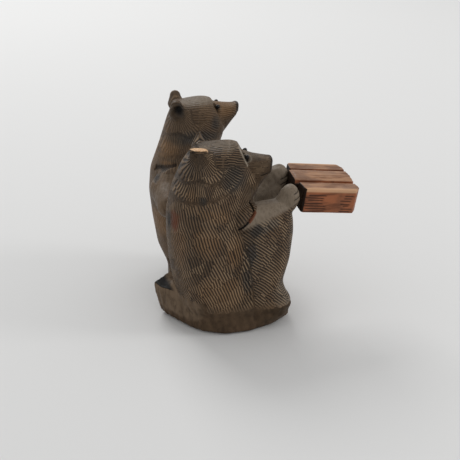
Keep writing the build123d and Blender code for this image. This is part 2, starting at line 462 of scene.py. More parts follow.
def place_strokes(points, normals, flow, style, tree, rng):
    """Lay strokes side by side in rows that spread over the surface from scattered starts."""
    length, pitch, depth = style
    across = np.cross(normals, flow)
    keys = np.floor(points / 5.0).astype(int)
    around = [(a, b, c) for a in (-1, 0, 1) for b in (-1, 0, 1) for c in (-1, 0, 1)]
    taken = {}
    chosen = []

    def is_free(i):
        kx, ky, kz = keys[i]
        near = [j for a, b, c in around for j in taken.get((kx + a, ky + b, kz + c), ())]
        if not near:
            return True
        gap = points[near] - points[i]
        beside = np.abs(gap @ across[i]) < 0.8 * pitch[i]
        before = np.abs(gap @ flow[i]) < 0.7 * length[i]
        close = np.linalg.norm(gap, axis=1) < length[i]
        return not np.any(beside & before & close)

    for start in rng.permutation(len(points))[:6000]:
        queue = deque([start])
        while queue:
            i = queue.popleft()
            if depth[i] < 0.03 or not is_free(i):
                continue
            chosen.append(i)
            taken.setdefault(tuple(keys[i]), []).append(i)
            side = across[i] * pitch[i]
            along = flow[i] * length[i]
            for reach in (side, -side):
                spot = points[i] + reach * rng.uniform(0.92, 1.08) + along * rng.uniform(-0.08, 0.08)
                queue.append(tree.find(spot)[1])
            for reach in (along, -along):
                spot = points[i] + reach * rng.uniform(0.76, 0.92) + side * rng.uniform(-0.2, 0.2)
                queue.append(tree.find(spot)[1])
    return chosen


def cut_strokes(points, normals, flow, style, rng):
    """Depth of gouged strokes at every vertex, and the same as a share of each stroke's depth."""
    length, pitch, depth = style
    tree = point_tree(points)
    cut = np.zeros(len(points))
    share = np.zeros(len(points))
    for i in place_strokes(points, normals, flow, style, tree, rng):
        swing = rng.normal(0, 0.07)
        along = flow[i] * math.cos(swing) + np.cross(normals[i], flow[i]) * math.sin(swing)
        across = np.cross(normals[i], along)
        half_length = length[i] * rng.uniform(0.48, 0.62)
        half_width = pitch[i] * rng.uniform(0.54, 0.64)
        deep = depth[i] * rng.uniform(0.7, 1.2)
        bow = rng.normal(0, 0.012)
        near = np.array([hit[1] for hit in tree.find_range(points[i], half_length + 0.3)])
        gap = points[near] - points[i]
        run = gap @ along
        u = run / half_length
        s = (gap @ across + bow * run ** 2) / half_width
        facing = normals[near] @ normals[i] > 0.3
        ends = np.clip(1 - np.abs(u - 0.15) ** 3 / 0.85 ** 3, 0, 1)
        profile = 0.5 + 0.5 * np.cos(np.pi * np.clip(s / np.maximum(ends, 0.3) ** 0.4, -1, 1))
        groove = ends * profile * facing
        cut[near] = np.maximum(cut[near], deep * groove)
        share[near] = np.maximum(share[near], groove)
    return cut, share


def line_cut(x, z, path, width, depth):
    """Depth of a knife cut that follows a path, seen from the side."""
    nearest = np.full(len(x), 1e3)
    for (ax, az), (bx, bz) in zip(path, path[1:]):
        t = np.clip(((x - ax) * (bx - ax) + (z - az) * (bz - az)) / ((bx - ax) ** 2 + (bz - az) ** 2), 0, 1)
        nearest = np.minimum(nearest, np.hypot(x - ax - t * (bx - ax), z - az - t * (bz - az)))
    return depth * np.clip(1 - nearest / width, 0, 1)


def blobs(points, places):
    """Soft patches, each given by a centre and radii, on both sides of the body."""
    mirrored = np.stack([points[:, 0], np.abs(points[:, 1]), points[:, 2]], 1)
    total = np.zeros(len(points))
    for centre, radii in places:
        reach = (((mirrored - np.array(centre)) / np.array(radii)) ** 2).sum(1)
        total = np.maximum(total, np.exp(-reach ** 1.5))
    return total


def fur_flow(points, normals, ear_root):
    """Direction of the cuts and the weight of each region.

    They run away from the ears, down the body and forward over the thighs.
    """
    x, y, z = points.T
    side = np.where(y < 0, -1.0, 1.0)
    one = np.ones(len(x))
    steep = np.radians(70 - 14 * smooth_step(x, -6, 8) - 14 * (1 - smooth_step(z, 16, 36)))
    down = np.stack([np.cos(steep), 0 * one, -np.sin(steep)], 1)
    thigh = np.stack([0.80 * one, 0 * one, -0.72 * one], 1)
    crown = np.stack([one, 0 * one, -0.08 * one], 1)
    level = np.stack([0.55 * one, -0.8 * side, -0.12 * one], 1)
    ex, ey, ez = ear_root
    roots = np.where(side[:, None] < 0, from_head_frame((ex, -ey, ez)), from_head_frame((ex, ey, ez)))
    reach = np.linalg.norm(points - roots, axis=1)
    radial = unit(points - roots)
    crease = np.interp(z, [15, 40, 50, 57, 66], [9, 6, 3, 1, 10.5])
    w_thigh = smooth_step(x - crease, -3, 4) * (1 - smooth_step(z, 60, 68))
    w_radial = 1 - smooth_step(reach, 16, 32)
    w_crown = smooth_step(z, ez - 9, ez - 5) * smooth_step(x - ex, 3, 8)
    w_level = smooth_step(normals[:, 0], 0.35, 0.8) * (1 - smooth_step(z, 60, 70)) * smooth_step(x, 18, 24)
    flow = down
    for weight, other in ((w_thigh, thigh), (w_radial, radial), (w_crown, crown), (w_level, level)):
        flow = flow * (1 - weight[:, None]) + other * weight[:, None]
    return tangent(flow, normals), (w_radial, w_crown, w_level, w_thigh)


def slanted(round_body, z, lean):
    """Across and along strokes that run down and forward at this many degrees from level."""
    turn = math.radians(lean)
    across = round_body * math.sin(turn) + z * math.cos(turn)
    along = round_body * math.cos(turn) - z * math.sin(turn)
    return across, along


def fur_lay(points, hx, hy, bear, weights):
    """Place of each point across and along the strokes, counted in spacings and lengths, and their strength.

    The strength falls to almost nothing where two regions meet.
    """
    x, y, z = points.T
    w_radial, w_crown, w_level, w_thigh = weights
    ex, _, ez = bear["ear_root"]
    brow_top = bear["brow"][1]
    face = smooth_step(past_brow(hx, z, bear), -0.5, 1.0) * smooth_step(z, brow_top - 18, brow_top - 12)
    round_torso = 24.0 * np.arctan2(np.abs(y), -x - 4.0)
    round_leg = x + 0.7 * (22.0 - np.abs(y)) * smooth_step(x, 14, 24)
    reach = np.hypot(hx - ex, z - ez)
    bearing = np.arctan2(z - ez, hx - ex)
    past_ring = reach - 14.0 - 2.0 * np.sin(5.0 * bearing)
    turn_radius = np.where(past_ring < 0, 12.0, 24.0)
    radial = (bearing * turn_radius, reach + 0.15 * np.abs(y))
    round_head = np.arctan2(hy, z - ez + 12.0)
    regions = (
        (w_thigh, slanted(round_leg, z, 42.0), THIGH_STROKE),
        (w_radial * (z < ez - 0.5), radial, EAR_STROKE),
        (np.maximum(w_crown, z > ez - 0.5), (round_head * 12.0, hx), CROWN_STROKE),
        (w_level, (z, y), FRONT_STROKE),
        (face, (round_head * 9.0, hx), FACE_STROKE),
    )
    across, along = slanted(round_torso, z, 68.0)
    across = across / TORSO_STROKE[0]
    along = along / TORSO_STROKE[1]
    border = w_radial * np.exp(-(past_ring / 0.5) ** 2)
    for weight, lay, (spacing, length) in regions:
        across = np.where(weight > 0.5, lay[0] / spacing, across)
        along = np.where(weight > 0.5, lay[1] / length, along)
        border = np.maximum(border, np.exp(-((weight - 0.5) / 0.07) ** 2))
    return across, along, 1 - 0.8 * border


def planed_facets(bare):
    """Length, spacing and depth of the broad shallow cuts that only the bare parts get."""
    length, spacing, depth = PLANED_FACET
    one = np.ones(len(bare))
    return length * one, spacing * one, depth * bare


def add_fur(mesh, lay, bare, z, most):
    """Store where the strokes lie and how strong they are: none on bare parts, fading towards the plinth."""
    across, along, strength = lay
    fade = smooth_step(z, SEAT_HEIGHT, SEAT_HEIGHT + FUR_FADE_HEIGHT)
    add_attribute(mesh, "across", across)
    add_attribute(mesh, "along", along)
    add_attribute(mesh, "fur", most * strength * (1 - bare) * fade)


def past_brow(hx, z, bear):
    """How far points lie in front of the plane in which the brow ends."""
    lean = math.radians(BROW_LEAN)
    return (hx - bear["brow"][0]) * math.cos(lean) + (z - bear["brow"][1]) * math.sin(lean)


def brow_cut(hx, hy, z, bear):
    """A knife cut along the front of the brow, from the crown down past the eyes."""
    top = bear["brow"][1]
    span = smooth_step(z, top - 4.0, top - 2.4) * (1 - smooth_step(z, top + 2.8, top + 4.0))
    return 0.6 * np.clip(1 - np.abs(past_brow(hx, z, bear) - 0.7) / 0.75, 0, 1) * span * (np.abs(hy) > 2.5)


def finger_cuts(points):
    """Three level grooves that part the fingers round the end of each paw."""
    x, _, z = points.T
    cut = np.zeros(len(points))
    for height in (63.6, 66.4, 69.2):
        cut = np.maximum(cut, 0.4 * np.clip(1 - np.abs(z - height - 0.25 * (x - 30)) / 0.7, 0, 1))
    return cut * smooth_step(x, 28.5, 30.5)


def make_near_bear(material):
    low = (-31.0, -25.0, 9.0)
    high = (37.0, 25.0, 98.0)
    p = grid_points(low, high, BEAR_VOXEL)
    eyes = eyes_of(("near_bear_right_eye", "near_bear_left_eye"), 0.0)
    mesh = mesh_from_field("near_bear_carving", near_bear_field(p, eyes), low, BEAR_VOXEL)
    mesh = modified(mesh, "SUBSURF", levels=1)
    points, normals = vertex_arrays(mesh)
    x, y, z = points.T
    hx, hy, _ = to_head_frame((x, y, z))
    flow, weights = fur_flow(points, normals, NEAR["ear_root"])
    forearm = smooth_step(x - 0.9 * (z - 58.4), 4.8, 5.4) * smooth_step(z - 0.25 * (x - 10.5), 55.5, 59.5)
    forearm *= (1 - smooth_step(z, 74.5, 75.5)) * (1 - (z > 66.5) * smooth_step(20 - x, 0, 4))
    chest = (np.abs(y) < 9) & (x > 6) & (z < 67)
    bare = np.where(chest, 0.9, forearm)
    cut, share = cut_strokes(points, normals, flow, planed_facets(bare), np.random.default_rng(11))
    stump = (np.hypot((hx + 13.0) / 4.6, (hy + 9.2) / 3.2) < 1) & (normals[:, 2] > 0.6) & (z > 90.5)
    cut[stump] *= 0.2
    share[stump] *= 0.2
    crack = line_cut(x, z, [(8.9, 66.5), (9.1, 63.4), (4.6, 58.4), (1.4, 55.6)], 0.6, 1.2) * (y < -11)
    mouth = line_cut(hx, z, NEAR["mouth"], 0.5, 0.45) * (np.abs(hy) > 1.5)
    knife = np.maximum.reduce([crack, mouth, finger_cuts(points), brow_cut(hx, hy, z, NEAR)])
    # Painted highlight: a pale line along the front of the brow, and pale rings round the eye sockets.
    painted_brow_eye_highlight = np.exp(-((past_brow(hx, z, NEAR) + 0.1) / 0.35) ** 2) * (brow_cut(hx + 0.7, hy, z, NEAR) > 0)
    mesh.vertices.foreach_set("co", (points - normals * np.maximum(cut, knife)[:, None]).ravel())
    add_fur(mesh, fur_lay(points, hx, hy, NEAR, weights), bare, z, 1 - stump)
    add_attribute(mesh, "groove", np.maximum(share * 0.25, np.clip(knife / 0.4, 0, 1)))
    # Dark patches on the cheek, in the creases between torso and thigh and under the back of the head:
    # partly dark stain, partly painted shade.
    add_attribute(mesh, "stain_and_painted_shade", blobs(points, [
        ((0.5, 12.5, 78.0), (7.5, 9.0, 8.5)), ((8.0, 21.0, 43.0), (4.5, 8.0, 9.0)),
        ((5.5, 21.0, 29.0), (3.5, 8.0, 8.0)), ((10.0, 21.0, 54.0), (4.5, 8.0, 4.5)),
        ((-20.0, 12.0, 86.0), (4.0, 7.0, 6.0)), ((-24.0, 16.0, 70.5), (2.5, 6.0, 3.0)),
        ((-14.8, 19.0, 70.5), (2.5, 6.0, 3.0)), ((-20.6, 20.0, 63.0), (3.0, 6.0, 2.5)),
    ]))
    add_attribute(mesh, "warm", blobs(points, [
        ((-20.7, 18.0, 73.6), (4.0, 7.0, 4.0)), ((-8.7, 21.0, 63.6), (8.0, 8.0, 4.5)),
        ((-0.8, 22.0, 45.3), (5.0, 8.0, 10.0)), ((-8.0, 21.0, 24.0), (14.0, 8.0, 11.0)),
        ((-26.0, 12.0, 47.5), (5.0, 9.0, 12.0)), ((-14.0, 20.0, 50.0), (8.0, 8.0, 8.0)),
    ]))
    # Pale: the planed bare parts; painted light on the top of the crown and of the face; lighter patches on
    # the knee, the foot, the arm and the paw.
    add_attribute(mesh, "pale", np.maximum(bare * 0.9, blobs(points, [
        ((-2.0, 0.0, 93.0), (14.0, 13.0, 4.0)), ((30.0, 13.0, 48.0), (4.0, 9.0, 15.0)),
        ((12.0, 0.0, 86.0), (9.0, 8.0, 3.0)), ((26.0, 14.0, 18.0), (11.0, 9.0, 12.0)),
        ((14.0, 20.0, 57.0), (9.0, 6.0, 4.0)),
        ((29.0, 11.0, 69.0), (6.0, 7.0, 6.0)),
    ])))
    # Black: the painted nose is real; the darkened eye sockets, the slot at the back and the inside of the
    # crack are painted shade.
    nose = smooth_step(hx, 20.6, 22.4) * smooth_step(z, 78.6, 79.8)
    socket = sum(np.exp(-((points - place) ** 2).sum(1) / 2.2) for place in eyes)
    slot = np.exp(-((x + 29) / 1.8) ** 2 - ((y + 4) / 3) ** 2 - ((z - 58) / 4.5) ** 4)
    for place in eyes:
        eye_gap = np.linalg.norm(points - place, axis=1)
        painted_brow_eye_highlight = np.maximum(painted_brow_eye_highlight, 0.7 * np.exp(-((eye_gap - 2.4) / 0.4) ** 2))
    add_attribute(mesh, "black", np.clip(nose * 0.8 + socket * 0.8 + slot + crack * (x + z < 66), 0, 1))
    chip = np.exp(-((x + 26) / 3.4) ** 2 - ((z - 58.5) / 5.5) ** 4 - ((y + 8) / 5) ** 2)
    beside_crack = line_cut(x, z, [(9.6, 63.4), (6.4, 59.8)], 1.1, 1.5) * (y < -11)
    add_attribute(mesh, "red", np.clip(chip + beside_crack, 0, 1))
    add_attribute(mesh, "raw", stump)
    add_attribute(mesh, "painted_brow_eye_highlight", painted_brow_eye_highlight)
    return finish_piece(mesh, (0, 0, 0), material, ["near_bear"])


def make_far_bear(material):
    low = (-34.0, -38.0, 9.0)
    high = (31.0, 25.0, 107.0)
    p = grid_points(low, high, BEAR_VOXEL)
    eyes = eyes_of(("far_bear_right_eye", "far_bear_left_eye"), BEAR_PITCH)
    mesh = mesh_from_field("far_bear_carving", far_bear_field(p, eyes), low, BEAR_VOXEL)
    mesh = modified(mesh, "SUBSURF", levels=1)
    points, normals = vertex_arrays(mesh)
    x, y, z = points.T
    hx, hy, _ = to_head_frame((x, y, z))
    flow, weights = fur_flow(points, normals, FAR["ear_root"])
    arm = smooth_step(-x, 16, 19) * (np.abs(z - 60) < 9) * (y < -9)
    chest = (np.abs(y) < 9) & (x > 6) & (z < 62)
    paw = smooth_step(x, 15, 18) * (y > 6) * (z > 50)
    bare = np.maximum(np.maximum(arm * 0.7, chest * 0.9), paw)
    cut, share = cut_strokes(points, normals, flow, planed_facets(bare), np.random.default_rng(12))
    fold = line_cut(x, z, [(-29.0, 65.6), (-25.1, 69.6), (-21.1, 71.8), (-17.7, 72.6)], 1.0, 0.9) * (y < -4)
    knife = np.maximum(brow_cut(hx, hy, z, FAR), fold)
    mesh.vertices.foreach_set("co", (points - normals * np.maximum(cut, knife)[:, None]).ravel())
    add_fur(mesh, fur_lay(points, hx, hy, FAR, weights), bare, z, 0.4)
    add_attribute(mesh, "groove", np.maximum(share * 0.25, 1.5 * knife))
    # Dark patches: painted shade in the ear hollow and in the fold of the hugging arm, and darker along the
    # jaw and on the cheek.
    add_attribute(mesh, "stain_and_painted_shade", blobs(points, [
        ((-6.0, 12.0, 85.0), (16.0, 9.0, 4.5)), ((-13.0, 11.5, 98.5), (3.0, 3.0, 4.0)),
        ((-28.0, 12.0, 66.5), (3.0, 8.0, 1.6)), ((4.0, 9.0, 91.0), (3.5, 6.0, 5.0)),
    ]))
    add_attribute(mesh, "warm", blobs(points, [
        ((10.0, 4.0, 97.5), (7.0, 8.0, 6.0)), ((-22.0, 10.0, 79.0), (8.0, 10.0, 5.0)),
        ((-22.0, 14.0, 72.5), (5.0, 8.0, 2.0)), ((-26.0, 8.0, 40.0), (6.0, 12.0, 10.0)),
    ]))
    # Painted light: the top of the crown is made paler as if lit from above.
    painted_crown_light = blobs(points, [((-2.0, 0.0, 102.0), (12.0, 12.0, 3.0))])
    add_attribute(mesh, "pale", np.maximum(bare * 0.6, painted_crown_light))
    # Black: the painted nose is real; the darkened eye sockets are painted shade, and the ear hollow is
    # partly dark stain, partly painted shade.
    nose = smooth_step(hx, 16.6, 17.3) * smooth_step(z, 94.4, 95.2)
    socket = sum(np.exp(-((points - place) ** 2).sum(1) / 2.2) for place in eyes)
    hollow = np.exp(-((hx + 12.4) / 2.6) ** 2 - ((z - 99.4) / 3.2) ** 2) * smooth_step(np.abs(hy), 8.6, 10.2)
    add_attribute(mesh, "black", np.clip(nose * 0.8 + socket * 0.5 + 1.2 * hollow, 0, 1))
    add_attribute(mesh, "red", np.zeros(len(x)))
    add_attribute(mesh, "raw", np.zeros(len(x)))
    add_attribute(mesh, "painted_brow_eye_highlight", np.zeros(len(x)))
    return finish_piece(mesh, (0, BEAR_PITCH, 0), material, ["far_bear"])


# ---------------------------------------------------------------- plinth and book

def outline_field(x, y, outline):
    """Signed distance to a closed outline, below zero inside."""
    nearest = np.full(x.shape, 1e3, dtype=np.float32)
    inside = np.zeros(x.shape, dtype=bool)
    for (ax, ay), (bx, by) in zip(outline, outline[1:] + outline[:1]):
        t = np.clip(((x - ax) * (bx - ax) + (y - ay) * (by - ay)) / ((bx - ax) ** 2 + (by - ay) ** 2), 0, 1)
        nearest = np.minimum(nearest, np.hypot(x - ax - t * (bx - ax), y - ay - t * (by - ay)))
        if ay != by:
            inside ^= ((ay > y) != (by > y)) & (x < ax + (y - ay) * (bx - ax) / (by - ay))
    return np.where(inside, -nearest, nearest)


def plinth_field(p):
    x, y, z = p
    wall = outline_field(x[:, :, 0], y[:, :, 0], PLINTH_OUTLINE)[:, :, None] + 0 * z
    corner = smooth_step(-x, 18, 32) * (1 - smooth_step(y, 20, 40))
    wall = wall + corner * 2.6 * (1 - smooth_step(z, 0, 14))
    seat = legs_field(p, NEAR, column_field(p, NEAR["torso"]))
    flare = smooth_step(z, 0, 9)
    wall = np.where(y < 20, wall * (1 - flare) + np.minimum(wall, seat - 0.1) * flare, wall)
    top = np.where(x < RIM_FRONT, RIM_HEIGHT, SLAB_HEIGHT)
    plinth = smooth_max(wall, z - top, 0.4)
    bears = np.minimum(near_bear_field(p, []), far_bear_field([x, y - BEAR_PITCH, z], []))
    behind = smooth_step(-x, 22, 26) * smooth_step(y, -3, 5)
    plinth = smooth_max(smooth_min(plinth, bears, 1.5 + 5.6 * behind), -z, 4.0)
    return smooth_max(plinth, -bears - 0.5, 0.1)


def make_plinth(material):
    low = (-36.0, -23.0, -2.0)
    high = (35.0, 71.0, 20.0)
    p = grid_points(low, high, PLINTH_VOXEL)
    mesh = mesh_from_field("plinth_carving", plinth_field(p), low, PLINTH_VOXEL)
    mesh = modified(mesh, "SUBSURF", levels=1)
    points, normals = vertex_arrays(mesh)
    x, y, z = points.T
    one = np.ones(len(x))
    flow = tangent(np.stack([0.25 * one, 0.1 * one, -one], 1), normals)
    wall = smooth_step(0.6 - np.abs(normals[:, 2]), 0.0, 0.3)
    style = (9.0 * one, 4.2 * one, 0.28 * wall)
    cut, share = cut_strokes(points, normals, flow, style, np.random.default_rng(13))
    carved = points - normals * cut[:, None]
    carved[:, 2] = np.maximum(carved[:, 2], 0.0)
    mesh.vertices.foreach_set("co", carved.ravel())
    add_attribute(mesh, "groove", share * 0.3)
    add_attribute(mesh, "black", smooth_step(normals[:, 2], 0.5, 0.8) * (z > 14) * smooth_step(-x, 25, 28))
    add_attribute(mesh, "pale", smooth_step(-x, 10, 22) * smooth_step(z, 1, 9) * (y < 22))
    return finish_piece(mesh, (0, 0, 0), material, ["plinth"])


def book_field(q):
    """The book in its own frame: two edge bands and an arched middle band, parted by grooves along x."""
    x, y, z = q
    length, width, thickness = BOOK_SIZE
    near_groove, far_groove = BOOK_GROOVES
    middle = (near_groove + far_groove) / 2
    arch = 0.8 * np.clip(1 - ((y - middle) / (far_groove - middle)) ** 2, 0, 1)
    top = thickness / 2 + 0.4 + arch + 1.2 * smooth_step(-y, 3, 15)
    block = rounded_box(q, (0.6, 0, 1.2), (length + 1.2, width, thickness + 2.4), 0.9)
    book = smooth_max(block, z - top, 0.4)
    tongue_size = (12.0, far_groove - near_groove - 1.0, thickness - 0.6)
    tongue = rounded_box(q, (-length / 2, middle, 1.2), tongue_size, 1.8)
    book = smooth_min(book, tongue, 0.6)
    for groove_y in BOOK_GROOVES:
        groove = np.hypot(y - groove_y, (z - thickness / 2 + 0.1) * 0.8) - 0.95
        book = smooth_max(book, -groove, 0.3)
    for side in (-1, 1):
        bear_corner = (-x - length / 2) * 0.75 + (side * y - width / 2) * 0.66 + 0.9
        outer_corner = (x - length / 2) * 0.8 + (side * y - width / 2) * 0.6 + 0.9
        book = smooth_max(smooth_max(book, bear_corner, 0.4), outer_corner, 0.4)
    return book


def page_lines(x, y, z, rng):
    """Fine level saw lines along both long faces, broken off in places."""
    _, width, thickness = BOOK_SIZE
    cut = np.zeros(len(x))
    for side in (-1, 1):
        on_face = smooth_step(side * y, width / 2 - 1.2, width / 2 - 0.7)
        for k in range(7):
            height = -thickness / 2 + 1.3 + 1.35 * k + rng.normal(0, 0.12)
            for low, high in ((-13.6, -0.5), (5.0, 13.2)):
                start = low + rng.uniform(-0.5, 1.8)
                end = high + rng.uniform(-2.5, 0.4)
                line = np.clip(1 - np.abs(z - height - rng.normal(0, 0.015) * x) / 0.42, 0, 1)
                span = smooth_step(x, start, start + 1.2) * (1 - smooth_step(x, end - 1.5, end))
                cut = np.maximum(cut, 0.38 * line * span * on_face)
    return cut


def make_book(material):
    half = np.array(BOOK_SIZE) / 2 + 1.5
    q = grid_points(-half, half, BOOK_VOXEL)
    mesh = mesh_from_field("book_carving", book_field(q), -half, BOOK_VOXEL)
    points, normals = vertex_arrays(mesh)
    x, y, z = points.T
    rng = np.random.default_rng(14)
    one = np.ones(len(x))
    flow = tangent(np.stack([one, 0 * one, 0 * one], 1), normals)
    top = smooth_step(np.abs(normals[:, 2]), 0.6, 0.9)
    cut, _ = cut_strokes(points, normals, flow, (11.0 * one, 2.6 * one, 0.05 + 0.12 * top), rng)
    lines = page_lines(x, y, z, rng)
    _, width, thickness = BOOK_SIZE
    furrow = sum(np.exp(-(y - groove_y) ** 2) for groove_y in BOOK_GROOVES) * (z > 2)
    bear_side = smooth_step(-normals[:, 0], 0.35, 0.6)
    long_edge = np.exp(-((np.abs(y) - width / 2) / 1.2) ** 2)
    long_edge = long_edge * smooth_step(z, thickness / 2 - 0.6, thickness / 2 + 0.4)
    add_attribute(mesh, "groove", np.clip(lines / 0.3, 0, 1))
    # Painted shade: the face turned to the bear and the two top grooves are darkened.
    add_attribute(mesh, "stain_and_painted_shade", np.clip(bear_side + 0.8 * furrow, 0, 1))
    # Long top edges: wear, with a painted highlight along them.
    add_attribute(mesh, "edge_wear_and_painted_highlight", 0.8 * long_edge)
    # The upward faces get a paler, greyer colour: painted sheen from the light above.
    add_attribute(mesh, "painted_top_sheen", smooth_step(normals[:, 2], 0.5, 0.8))
    pitch = Matrix.Rotation(math.radians(BOOK_PITCH), 3, "Y")
    roll = Matrix.Rotation(math.radians(BOOK_ROLL), 3, "X")
    spin = pitch @ roll
    carved = (points - normals * np.maximum(cut, lines)[:, None]) @ np.array(spin).T + np.array(BOOK_CENTRE)
    mesh.vertices.foreach_set("co", carved.ravel())
    return finish_piece(mesh, (0, 0, 0), material, ["open_book"])


# ---------------------------------------------------------------- materials

def node(tree, kind, **settings):
    made = tree.nodes.new(kind)
    for key, value in settings.items():
        setattr(made, key, value)
    return made


def new_material(name):
    """A material with a bare Principled surface."""
    material = bpy.data.materials.new(name)
    material.use_nodes = True
    tree = material.node_tree
    tree.nodes.clear()
    shader = node(tree, "ShaderNodeBsdfPrincipled")
    shader.inputs["Specular IOR Level"].default_value = 0.2
    output = node(tree, "ShaderNodeOutputMaterial")
    tree.links.new(shader.outputs[0], output.inputs["Surface"])
    return material, tree, shader


def attribute(tree, name):
    return node(tree, "ShaderNodeAttribute", attribute_name=name).outputs["Fac"]


def noise(tree, scale, detail=3.0, rough=0.55, stretch=(1, 1, 1)):
    """Noise in the frame's metres; scale is lumps per metre."""
    place = node(tree, "ShaderNodeTexCoord").outputs["Object"]
    mapping = node(tree, "ShaderNodeMapping")
    mapping.inputs["Scale"].default_value = stretch
    tree.links.new(place, mapping.inputs["Vector"])
    made = node(tree, "ShaderNodeTexNoise")
    made.inputs["Scale"].default_value = scale
    made.inputs["Detail"].default_value = detail
    made.inputs["Roughness"].default_value = rough
    tree.links.new(mapping.outputs["Vector"], made.inputs["Vector"])
    return made.outputs["Fac"]


def remap(tree, value, low, high, to_low=0.0, to_high=1.0):
    made = node(tree, "ShaderNodeMapRange", interpolation_type="SMOOTHSTEP")
    for key, number in zip(("From Min", "From Max", "To Min", "To Max"), (low, high, to_low, to_high)):
        made.inputs[key].default_value = number
    tree.links.new(value, made.inputs["Value"])
    return made.outputs["Result"]


def calculate(tree, operation, *values):
    made = node(tree, "ShaderNodeMath", operation=operation)
    for socket, value in zip(made.inputs, values):
        if isinstance(value, (int, float)):
            socket.default_value = value
        else:
            tree.links.new(value, socket)
    return made.outputs[0]


def patch(tree, name, ragged, low=0.30, high=0.75):
    """A patch of colour whose edge is broken up by noise; some patches are stain and tone, some are painted
    light and shade.
    """
    spread = calculate(tree, "MULTIPLY_ADD", ragged, 0.9, -0.45)
    return remap(tree, calculate(tree, "ADD", attribute(tree, name), spread), low, high)


def mix_colour(tree, factor, first, second, blend="MIX"):
    made = node(tree, "ShaderNodeMix", data_type="RGBA", blend_type=blend)
    sockets = (made.inputs[0], made.inputs[6], made.inputs[7])
    for socket, value in zip(sockets, (factor, first, second)):
        if isinstance(value, (int, float)):
            socket.default_value = value
        elif isinstance(value, tuple):
            socket.default_value = (*value, 1.0)
        else:
            tree.links.new(value, socket)
    return made.outputs[2]


def bump(tree, height, strength, distance):
    made = node(tree, "ShaderNodeBump")
    made.inputs["Strength"].default_value = strength
    made.inputs["Distance"].default_value = distance
    tree.links.new(height, made.inputs["Height"])
    return made.outputs["Normal"]


def gouge_strokes(tree):
    """Distance from the nearest gouge's middle, 0 to 1, and a random shade for each patch of strokes."""
    across = attribute(tree, "across")
    along = attribute(tree, "along")
    place = node(tree, "ShaderNodeCombineXYZ")
    tree.links.new(calculate(tree, "MULTIPLY", across, 0.22), place.inputs["X"])
    tree.links.new(along, place.inputs["Y"])
    patches = node(tree, "ShaderNodeTexVoronoi", feature="F1", voronoi_dimensions="2D")
    patches.inputs["Scale"].default_value = 1.0
    patches.inputs["Randomness"].default_value = 0.8
    tree.links.new(place.outputs[0], patches.inputs["Vector"])
    parts = node(tree, "ShaderNodeSeparateColor")
    tree.links.new(patches.outputs["Color"], parts.inputs[0])
    shift, tilt, shade = parts.outputs
    lean = calculate(tree, "MULTIPLY", along, calculate(tree, "MULTIPLY_ADD", tilt, 0.7, -0.35))
    phase = calculate(tree, "ADD", calculate(tree, "ADD", across, shift), lean)
    saw = calculate(tree, "SUBTRACT", calculate(tree, "FRACT", phase), 0.5)
    return calculate(tree, "MULTIPLY", calculate(tree, "ABSOLUTE", saw), 2.0), shade


def fur_wood():
    material, tree, shader = new_material("carved_fur_wood")
    ragged = noise(tree, 160.0, 3.0, 0.6)
    broad = noise(tree, 55.0, 2.0)
    fine = noise(tree, 1100.0, 4.0, 0.65, (1.0, 1.0, 0.3))
    colour = mix_colour(tree, remap(tree, broad, 0.35, 0.7), linear(86, 69, 52), linear(104, 82, 60))
    colour = mix_colour(tree, patch(tree, "warm", ragged, 0.2, 1.0), colour, linear(120, 92, 64))
    # Pale patches: the planed bare parts, and painted light on the tops of the crowns and the face.
    colour = mix_colour(tree, patch(tree, "pale", ragged, 0.2, 0.9), colour, linear(118, 105, 90))
    # Dark patches: partly dark stain, partly painted shade in creases, under the heads and in the ear
    # hollows.
    colour = mix_colour(tree, patch(tree, "stain_and_painted_shade", ragged, 0.2, 1.1), colour, linear(60, 55, 50))
    colour = mix_colour(tree, remap(tree, fine, 0.4, 0.75, 0.0, 0.35), colour, linear(48, 38, 30))
    edge, shade = gouge_strokes(tree)
    # Painted highlight: the crests between the gouges are lightened as if they caught the light.
    painted_crest_highlight = calculate(tree, "MULTIPLY", remap(tree, edge, 0.5, 1.0), calculate(tree, "MULTIPLY", shade, 0.8))
    painted_crest_highlight = calculate(tree, "MULTIPLY", painted_crest_highlight, attribute(tree, "fur"))
    colour = mix_colour(tree, painted_crest_highlight, colour, linear(158, 134, 106))
    # Gouges and knife cuts are darkened: partly dark stain gathered in them, partly painted shade.
    depth = calculate(tree, "MULTIPLY_ADD", shade, -0.3, 1.0)
    gouges = calculate(tree, "MULTIPLY", remap(tree, edge, 0.1, 0.7, 1.0, 0.0), attribute(tree, "fur"))
    gouges = calculate(tree, "MULTIPLY", gouges, depth)
    gouge_colour = linear(28, 20, 13)
    colour = mix_colour(tree, gouges, colour, gouge_colour)
    knife_cuts = remap(tree, attribute(tree, "groove"), 0.15, 0.95, 0.0, 0.85)
    colour = mix_colour(tree, knife_cuts, colour, gouge_colour)
    colour = mix_colour(tree, patch(tree, "red", ragged, 0.2, 0.9), colour, linear(98, 56, 34))
    # Painted highlight along the brow and round the eye sockets.
    colour = mix_colour(tree, attribute(tree, "painted_brow_eye_highlight"), colour, linear(150, 138, 122))
    # Black: the painted noses, and painted shade in the eye sockets, the ear hollows, the slot and the
    # crack.
    colour = mix_colour(tree, attribute(tree, "black"), colour, linear(22, 20, 19))
    raw = mix_colour(tree, remap(tree, fine, 0.35, 0.65), linear(214, 178, 138), linear(172, 130, 92))
    colour = mix_colour(tree, attribute(tree, "raw"), colour, raw)
    tree.links.new(colour, shader.inputs["Base Color"])
    tree.links.new(remap(tree, fine, 0.3, 0.8, 0.45, 0.7), shader.inputs["Roughness"])
    relief = calculate(tree, "MULTIPLY", remap(tree, edge, 0.0, 0.9), attribute(tree, "fur"))
    height = calculate(tree, "MULTIPLY_ADD", fine, 0.35, relief)
    tree.links.new(bump(tree, height, 0.9, 0.0006), shader.inputs["Normal"])
    return material


